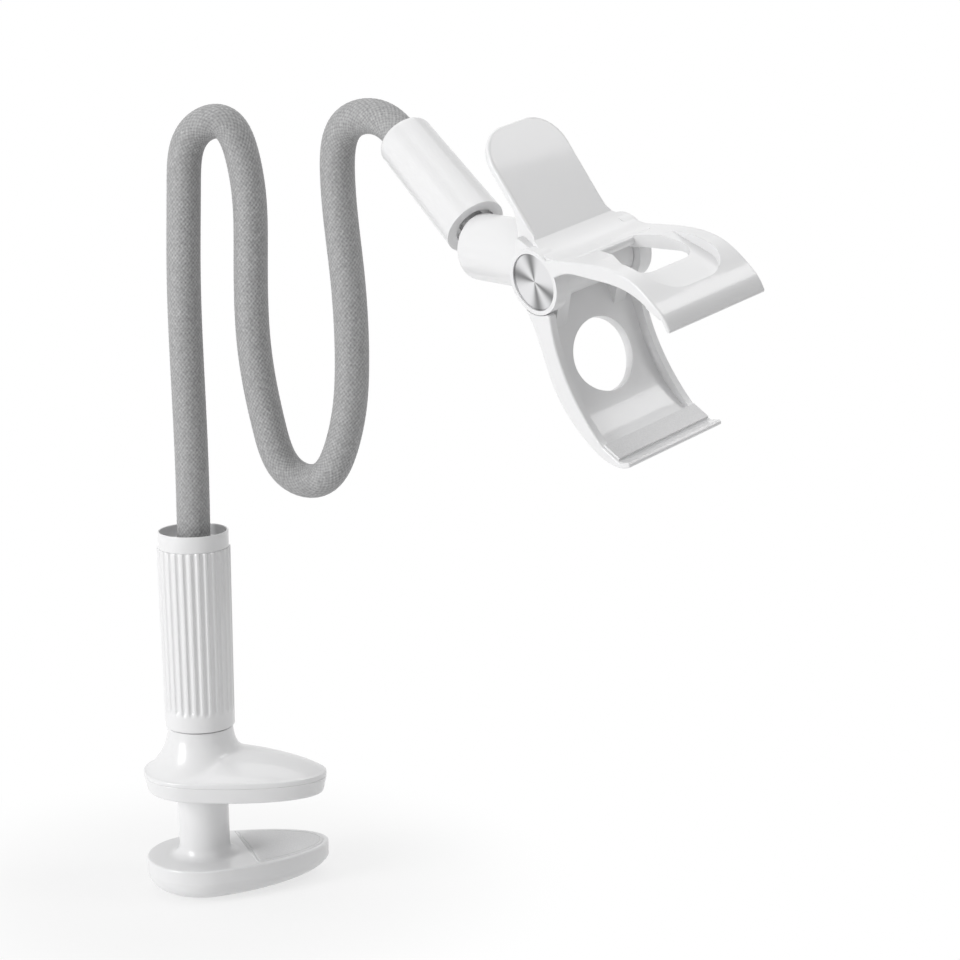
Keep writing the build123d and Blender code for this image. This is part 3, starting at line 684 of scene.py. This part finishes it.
class HOLDER_OT_grip(bpy.types.Operator):
    """Fluted grip and the lip above it.

    The grip is a cone less a round-bottomed flute: the cut is the depth of a circle's arc at the
    distance from the flute's line, and below the flute's foot that distance is taken to its last point.
    """

    bl_idname = "holder.grip"
    bl_label = "Grip and lip"

    def execute(self, context):
        sizes = context.scene.holder_grip
        shell = context.scene.holder_shell
        material = moulded_plastic("white_grip", shell.white, shell.roughness, shell.coat)
        self.add_grip(sizes, material)
        self.add_lip(sizes, material)
        return {"FINISHED"}

    def add_grip(self, sizes, material):
        """The grip: its outline turned about the column, less the cut of the flutes."""
        low, high = (corner.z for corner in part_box("grip_sleeve"))
        outline = rounded_loop(
            ((sizes.low_radius, low), (sizes.high_radius, high), (sizes.bore, high), (sizes.bore, low)),
            (sizes.edge, sizes.edge, sizes.bore_edge, sizes.bore_edge))
        outline = refined(outline, GRIP_SIDE)
        turn = np.linspace(0, 2 * np.pi, sizes.flutes * FLUTE_STEPS, endpoint=False)
        phase = (turn * sizes.flutes / (2 * np.pi) + 0.5) % 1 - 0.5
        across = phase * 2 * np.pi * sizes.low_radius / sizes.flutes
        foot = low + sizes.band + sizes.flute_radius
        below = np.maximum(0, foot - outline[:, 1])
        away = np.hypot(across[None, :], below[:, None])
        arc = np.sqrt(np.maximum(0, sizes.flute_radius ** 2 - away ** 2))
        cut = np.maximum(0, arc - (sizes.flute_radius - sizes.flute_depth))
        outer = (outline[:, 0] > sizes.bore + sizes.flute_depth)[:, None]
        radius = outline[:, 0][:, None] - np.where(outer, cut, 0)
        x = COLUMN_X + radius * np.cos(turn)[None]
        y = radius * np.sin(turn)[None]
        z = np.broadcast_to(outline[:, 1][:, None], x.shape)
        piece = piece_from_grid("grip_flutes", np.stack((x, y, z), -1), True)
        self.finish_piece(piece, material, "grip_sleeve", "white_grip")

    def add_lip(self, sizes, material):
        """The tube in the grip and the lip on top of it, as one outline turned about the column."""
        low, high = (corner.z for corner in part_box("handle_tube"))
        step = high - sizes.lip_height
        floor = step + sizes.lip_floor
        corners = (
            (sizes.bore, low), (sizes.bore, step), (sizes.lip_out, step), (sizes.lip_out, high),
            (sizes.lip_in, high), (sizes.lip_in, floor), (sizes.tube_bore, floor), (sizes.tube_bore, low))
        outline = refined(rounded_loop(corners, LIP_ROUNDS), LIP_SIDE)
        grid = turned_grid(outline, (COLUMN_X, 0, 0), (0, 0, 1), (1, 0, 0))
        piece = piece_from_grid("handle_lip", grid, True)
        self.finish_piece(piece, material, "handle_tube", "white_shell")

    def finish_piece(self, piece, material, node, slot):
        """Lets a piece turn with the handle in place of the frame's solid, and gives it its finish."""
        piece.data.materials.append(material)
        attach(piece, "handle")
        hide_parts(node)


class HOLDER_OT_caps(bpy.types.Operator):
    """Two spun caps on the clip's pivot.

    Each is a dished and bevelled outline turned about the pivot. Its colour carries a painted reflection:
    the brightness of a ray is one less a sum of bell curves of the angle round the cap, and its finish
    also reads the distance to its middle.
    """

    bl_idname = "holder.caps"
    bl_label = "Spun caps"

    def execute(self, context):
        sizes = context.scene.holder_caps
        material = spun_metal_painted_rays("spun_cap", sizes.metal)
        outward = unit(JOINTS["clip_squeeze"]["axis"])
        self.add_cap("near", -outward, sizes, material)
        self.add_cap("far", outward, sizes, material)
        return {"FINISHED"}

    def add_cap(self, side, outward, sizes, material):
        """One cap, from the middle of its back over its rim to the middle of its face."""
        part = np.linspace(1, 0, CAP_RINGS)
        flat = sizes.radius - sizes.edge
        face = np.stack((flat * part, sizes.dish * (part ** 2 - 1)), -1)
        rim = np.array(((0, -sizes.thick), (sizes.radius, -sizes.thick), (sizes.radius, -sizes.edge)))
        outline = np.concatenate((rim, face))
        origin = np.array(JOINTS["clip_squeeze"]["pos_m"]) + outward * sizes.face
        grid = turned_grid(outline, origin, outward, (0, 0, 1))
        piece = piece_from_grid(f"spun_cap_{side}", grid, False)
        turn = np.linspace(0, 2 * np.pi, TURN_STEPS, endpoint=False)
        # Painted reflection: darker rays at fixed angles round the cap, written into its colour.
        dark = np.zeros(TURN_STEPS)
        for middle, spread in CAP_PAINTED_RAYS:
            away = (turn - middle + np.pi) % (2 * np.pi) - np.pi
            dark += np.exp(-(away / spread) ** 2)
        add_float(piece, "ray", np.ones((len(outline), 1)) * (1 - np.clip(dark, 0, 1)))
        add_float(piece, "ring", outline[:, :1] * np.ones(TURN_STEPS))
        weld(piece)
        piece.data.materials.append(material)
        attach(piece, "clip_lever")
        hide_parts(f"pivot_cap_{side}")


class HOLDER_OT_facings(bpy.types.Operator):
    """Soft facings on the clamp's jaws.

    The outline is an ellipse cut by a straight edge: in each direction from the middle, the reach is a
    smooth minimum of the ellipse's reach and the edge's. The face falls towards the rim by a decaying
    curve, and a narrow bell curve of the distance to the rim makes the line beside it.
    """

    bl_idname = "holder.facings"
    bl_label = "Jaw facings"

    def execute(self, context):
        sizes = context.scene.holder_facings
        shell = context.scene.holder_shell
        material = soft_rubber("pale_pad", shell.pad)
        self.add_facing("lower", 0.0, 0.0, 1, sizes, material)
        self.add_facing("upper", sizes.draft, sizes.twist, -1, sizes, material)
        return {"FINISHED"}

    def reach(self, turn, middle, nose, half, back):
        """Distance to the outline: a smooth minimum of a quadratic's root and the edge's distance."""
        square = (np.cos(turn) / nose) ** 2 + (np.sin(turn) / half) ** 2
        linear = middle * np.cos(turn) / nose ** 2
        constant = (middle / nose) ** 2 - 1
        ellipse = (np.sqrt(linear ** 2 - square * constant) - linear) / square
        edge = (middle - back) / np.maximum(-np.cos(turn), FACING_FAR)
        return (ellipse ** -FACING_CORNER + edge ** -FACING_CORNER) ** (-1 / FACING_CORNER)

    def add_facing(self, side, draft, twist, way, sizes, material):
        """One facing, from the middle of its underside over its rim to the middle of its face."""
        low, high = (corner.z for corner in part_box(f"{side}_pad"))
        base, top = (low, high) if way > 0 else (high, low)
        nose = sizes.nose - draft
        middle = (nose + sizes.back) / 2
        turn = np.linspace(0, 2 * np.pi, JAW_STEPS, endpoint=False)
        reach = self.reach(turn, middle, nose, sizes.half - draft, sizes.back)[None]
        corner = np.linspace(0, np.pi / 2, CORNER_STEPS)[:, None]
        inset = sizes.edge * (1 - np.cos(corner))
        drop = sizes.crown + sizes.edge * (1 - np.sin(corner))
        part = np.linspace(0, 1, FACING_RINGS)[1:, None] ** 2
        inside = sizes.edge + (reach - sizes.edge) * part
        line = np.exp(-((inside - sizes.groove_inset) / (sizes.groove_inset * LINE_WIDTH)) ** 2)
        crown = sizes.crown * np.exp(-(inside - sizes.edge) / (CROWN_WIDTH * sizes.groove_inset))
        fall = crown + sizes.groove * line
        rows = (np.zeros_like(reach), reach, reach - inset, reach - inside)
        heights = (np.full_like(reach, base), np.full_like(reach, base),
                   top - way * drop * np.ones_like(reach), top - way * fall)
        radius = np.concatenate(rows)
        z = np.concatenate(heights)
        x = middle + radius * np.cos(turn)
        y = radius * np.sin(turn)
        points = np.stack((COLUMN_X + x * np.cos(twist) - y * np.sin(twist),
                           x * np.sin(twist) + y * np.cos(twist), z), -1)
        piece = piece_from_grid(f"{side}_facing", points[:, ::way], False)
        weld(piece)
        piece.data.materials.append(material)
        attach(piece, "clamp_foot" if way > 0 else "upper_clamp")
        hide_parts(f"{side}_pad")


class HOLDER_OT_bell(bpy.types.Operator):
    """Bell of the upper jaw.

    The rim is half a circle behind the column and half an ellipse before it. In each direction the height
    is a smooth maximum of two curves of the distance from the axis: a flare that decays from the neck, and
    a crest that is a power of one less the squared share of the way to the rim and eases in to the nose.
    """

    bl_idname = "holder.bell"
    bl_label = "Upper jaw"

    def execute(self, context):
        sizes = context.scene.holder_bell
        shell = context.scene.holder_shell
        low, high = (corner.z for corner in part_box("upper_jaw"))
        turn = np.linspace(0, 2 * np.pi, JAW_STEPS, endpoint=False)
        reach = np.where(np.cos(turn) > 0, sizes.nose, sizes.back)
        rim = 1 / np.hypot(np.cos(turn) / reach, np.sin(turn) / sizes.half)[None]
        part = np.linspace(1, 0, BELL_RINGS)[:, None] ** 2
        radius = sizes.neck + (rim - sizes.edge - sizes.neck) * part
        height = self.height(radius, rim, turn, high - low, sizes)
        corner = np.linspace(0, np.pi / 2, CORNER_STEPS)[:, None]
        lift = sizes.parting * (1 - np.cos(corner)) * np.ones_like(rim)
        foot = (rim - sizes.parting * (1 - np.sin(corner)), lift)
        bent = corner[:-1]
        edge = (rim - sizes.edge * (1 - np.cos(bent)), height[:1] - sizes.edge * (1 - np.sin(bent)))
        rows = [foot, edge, (radius, height)]
        for out, up in self.inside(low, high, sizes):
            rows.append((np.full_like(rim, out), np.full_like(rim, up)))
        radius = np.concatenate([row[0] for row in rows])
        height = np.concatenate([row[1] for row in rows])
        heading = turn + context.scene.holder_facings.twist
        x = COLUMN_X + radius * np.cos(heading)
        y = radius * np.sin(heading)
        piece = piece_from_grid("upper_bell", np.stack((x, y, low + height), -1), True)
        material = moulded_plastic("white_bell", shell.white, shell.roughness, shell.coat)
        piece.data.materials.append(material)
        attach(piece, "upper_clamp")
        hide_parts("upper_jaw")
        return {"FINISHED"}

    def height(self, radius, rim, turn, top, sizes):
        """Height of the outside above the parting at each distance from the axis."""
        away = radius - sizes.neck
        throat = top + sizes.sink - sizes.flare
        flare = sizes.flare * np.exp(-away / sizes.fall) - sizes.sink
        flare = flare + throat * np.exp(-away / sizes.throat)
        ease = np.clip((np.cos(turn) - CREST_START) / (CREST_WHOLE - CREST_START), 0, 1)
        share = ease ** 2 * (3 - 2 * ease)
        crest = sizes.rim + share * sizes.crest * (1 - (radius / rim) ** 2) ** BELL_FULLNESS
        return (np.maximum(flare, 0) ** BELL_UNION + crest ** BELL_UNION) ** (1 / BELL_UNION)

    def inside(self, low, high, sizes):
        """Distance from the axis and height of the corners of the lip, the ring's room and the bore."""
        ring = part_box("swivel_ring")
        room = (ring[1].x - ring[0].x) / 2 + sizes.clearance
        top = high - low
        floor = ring[0].z - sizes.clearance - low
        shelf = top - sizes.lip
        return (
            (sizes.lip_bore, top), (sizes.lip_bore, shelf), (room, shelf), (room, floor),
            (sizes.bore, floor), (sizes.bore, 0.0))


class HOLDER_OT_finishes(bpy.types.Operator):
    """Finishes of the solids that show as they are."""

    bl_idname = "holder.finishes"
    bl_label = "Finishes"

    def execute(self, context):
        shell = context.scene.holder_shell
        white = moulded_plastic("white_shell", shell.white, shell.roughness, shell.coat)
        dress(white, "lower_jaw", "upper_jaw_base", "collar", "barrel")
        dress(white, "clip_lower_jaw", "clip_upper_jaw", "mouth_ring")
        dress(soft_rubber("clip_pad", shell.pad), "clip_lower_pad", "clip_upper_pad")
        steel = turned_steel("turned_steel", STEEL_COLOUR)
        dress(steel, "anchor_nut", "clamp_screw", "lower_ferrule", "swivel_ring", "handle_nut")
        dress(steel, "torsion_spring", "pivot_pin")
        liner = moulded_plastic("pale_liner", shell.white, LINER_ROUGHNESS, 0.0)
        dress(liner, "ball", "ball_stud", "socket_liner")
        return {"FINISHED"}


class HOLDER_OT_stage(bpy.types.Operator):
    """Pale floor, soft light and the camera."""

    bl_idname = "holder.stage"
    bl_label = "Stage"

    def execute(self, context):
        sizes = context.scene.holder_stage
        self.add_floor(sizes)
        self.add_world(sizes)
        self.add_lamp("key", KEY_PLACE, KEY_SIZE, sizes.key, LAMP_LEVEL)
        self.add_lamp("top", TOP_PLACE, TOP_SIZE, sizes.top, LAMP_LEVEL)
        self.add_lamp("side", SIDE_PLACE, SIDE_SIZE, sizes.side, JOINTS["clip_squeeze"]["axis"])
        self.add_camera(context.scene)
        context.scene.view_settings.view_transform = "Standard"
        return {"FINISHED"}

    def add_floor(self, sizes):
        """A flat disc of points at the object's lowest height."""
        turn = np.linspace(0, 2 * np.pi, TURN_STEPS, endpoint=False)
        radius = np.linspace(0.0, FLOOR_RADIUS, FLOOR_RINGS)[:, None]
        x = radius * np.cos(turn)
        y = radius * np.sin(turn)
        z = np.full_like(x, FLOOR_Z)
        floor = piece_from_grid("floor", np.stack((x, y, z), -1)[::-1], False)
        weld(floor)
        material, shader = new_material("pale_floor")
        shader.inputs["Base Color"].default_value = (*sizes.floor, 1)
        shader.inputs["Roughness"].default_value = FLOOR_ROUGHNESS
        shader.inputs["Specular IOR Level"].default_value = FLOOR_GLOSS
        self.fade_to_white(material, shader, sizes)
        floor.data.materials.append(material)

    def fade_to_white(self, material, shader, sizes):
        """White to seen and mirrored rays away from the object, with the floor's own shade near it."""
        place = add_node(material, "ShaderNodeTexCoord")
        shift = add_node(material, "ShaderNodeVectorMath", operation="SUBTRACT")
        shift.inputs[1].default_value = (COLUMN_X, 0, FLOOR_Z)
        join(material, place.outputs["Object"], shift.inputs[0])
        away = add_node(material, "ShaderNodeVectorMath", operation="LENGTH")
        join(material, shift.outputs["Vector"], away.inputs[0])
        fade = add_node(material, "ShaderNodeMapRange", interpolation_type="SMOOTHSTEP")
        fade.inputs["From Min"].default_value = sizes.shade_reach * FADE_START
        fade.inputs["From Max"].default_value = sizes.shade_reach
        fade.inputs["To Min"].default_value = 1 - sizes.shade
        join(material, away.outputs["Value"], fade.inputs["Value"])
        seen = add_node(material, "ShaderNodeMath", operation="MULTIPLY")
        join(material, fade.outputs["Result"], seen.inputs[0])
        join(material, self.seen_rays(material.node_tree), seen.inputs[1])
        white = add_node(material, "ShaderNodeEmission")
        mix = add_node(material, "ShaderNodeMixShader")
        join(material, seen.outputs["Value"], mix.inputs["Fac"])
        join(material, shader.outputs["BSDF"], mix.inputs[1])
        join(material, white.outputs["Emission"], mix.inputs[2])
        surface = material.node_tree.nodes["Material Output"].inputs["Surface"]
        join(material, mix.outputs["Shader"], surface)

    def seen_rays(self, tree):
        """One for camera, glossy and transmission rays, and nought for the rest."""
        path = tree.nodes.new("ShaderNodeLightPath")
        total = path.outputs["Is Camera Ray"]
        for ray in ("Is Glossy Ray", "Is Transmission Ray"):
            add = tree.nodes.new("ShaderNodeMath")
            add.operation = "ADD"
            add.use_clamp = True
            tree.links.new(total, add.inputs[0])
            tree.links.new(path.outputs[ray], add.inputs[1])
            total = add.outputs["Value"]
        return total

    def add_world(self, sizes):
        """White to the camera and in reflections, and a dimmer fill for the rest."""
        world = bpy.data.worlds.new("studio")
        bpy.context.scene.world = world
        world.use_nodes = True
        tree = world.node_tree
        fill = tree.nodes["Background"]
        fill.inputs["Strength"].default_value = sizes.fill
        fill.inputs["Color"].default_value = WHITE
        white = tree.nodes.new("ShaderNodeBackground")
        white.inputs["Color"].default_value = WHITE
        mix = tree.nodes.new("ShaderNodeMixShader")
        tree.links.new(self.seen_rays(tree), mix.inputs["Fac"])
        tree.links.new(fill.outputs[0], mix.inputs[1])
        tree.links.new(white.outputs[0], mix.inputs[2])
        tree.links.new(mix.outputs[0], tree.nodes["World Output"].inputs["Surface"])

    def add_lamp(self, name, place, size, power, along):
        """A soft lamp that faces the middle of the object, with its width along a direction."""
        light = bpy.data.lights.new(name, "AREA")
        light.shape = "RECTANGLE"
        light.size, light.size_y = size
        light.energy = power
        lamp = bpy.data.objects.new(name, light)
        bpy.context.scene.collection.objects.link(lamp)
        middle = (np.array(CAD_BOX[0]) + np.array(CAD_BOX[1])) / 2
        back = unit(np.array(place) - middle)
        along = np.asarray(along, float)
        right = unit(along - back * (along @ back))
        top = np.cross(back, right)
        lamp.matrix_world = self.placed(right, top, back, place)

    def add_camera(self, scene):
        """The camera that the scene is seen through."""
        camera = bpy.data.cameras.new("camera")
        camera.lens = CAMERA_LENS
        camera.sensor_width = CAMERA_SENSOR
        holder = bpy.data.objects.new("camera", camera)
        scene.collection.objects.link(holder)
        holder.matrix_world = self.placed(CAMERA_RIGHT, CAMERA_UP, CAMERA_BACK, CAMERA_PLACE)
        scene.camera = holder

    def placed(self, right, top, back, place):
        """The matrix of a thing with those three directions at that place."""
        rows = np.eye(4)
        rows[:3] = np.stack((right, top, back, place), -1)
        return Matrix(rows.tolist())


class HOLDER_PT_panel(bpy.types.Panel):
    """Steps of the build."""

    bl_idname = "HOLDER_PT_panel"
    bl_label = "Gooseneck holder"
    bl_space_type = "VIEW_3D"
    bl_region_type = "UI"
    bl_category = "Holder"

    def draw(self, context):
        for step in STEPS:
            self.layout.operator(step.bl_idname)


STEPS = (
    HOLDER_OT_neck,
    HOLDER_OT_grip,
    HOLDER_OT_caps,
    HOLDER_OT_facings,
    HOLDER_OT_bell,
    HOLDER_OT_finishes,
    HOLDER_OT_stage,
)
SETTINGS = {
    "holder_neck": NeckSettings,
    "holder_shell": ShellSettings,
    "holder_grip": GripSettings,
    "holder_caps": CapSettings,
    "holder_facings": FacingSettings,
    "holder_bell": BellSettings,
    "holder_stage": StageSettings,
}


def register():
    """Adds the settings, the steps and the panel."""
    for name, group in SETTINGS.items():
        bpy.utils.register_class(group)
        setattr(bpy.types.Scene, name, bpy.props.PointerProperty(type=group))
    for cls in STEPS:
        bpy.utils.register_class(cls)
    bpy.utils.register_class(HOLDER_PT_panel)


def unregister():
    """Takes the panel, the steps and the settings away again."""
    bpy.utils.unregister_class(HOLDER_PT_panel)
    for cls in reversed(STEPS):
        bpy.utils.unregister_class(cls)
    for name, group in SETTINGS.items():
        delattr(bpy.types.Scene, name)
        bpy.utils.unregister_class(group)


def main():
    """Runs every step in order."""
    register()
    bpy.ops.holder.neck()
    bpy.ops.holder.grip()
    bpy.ops.holder.caps()
    bpy.ops.holder.facings()
    bpy.ops.holder.bell()
    bpy.ops.holder.finishes()
    bpy.ops.holder.stage()


if __name__ == "__main__":
    main()
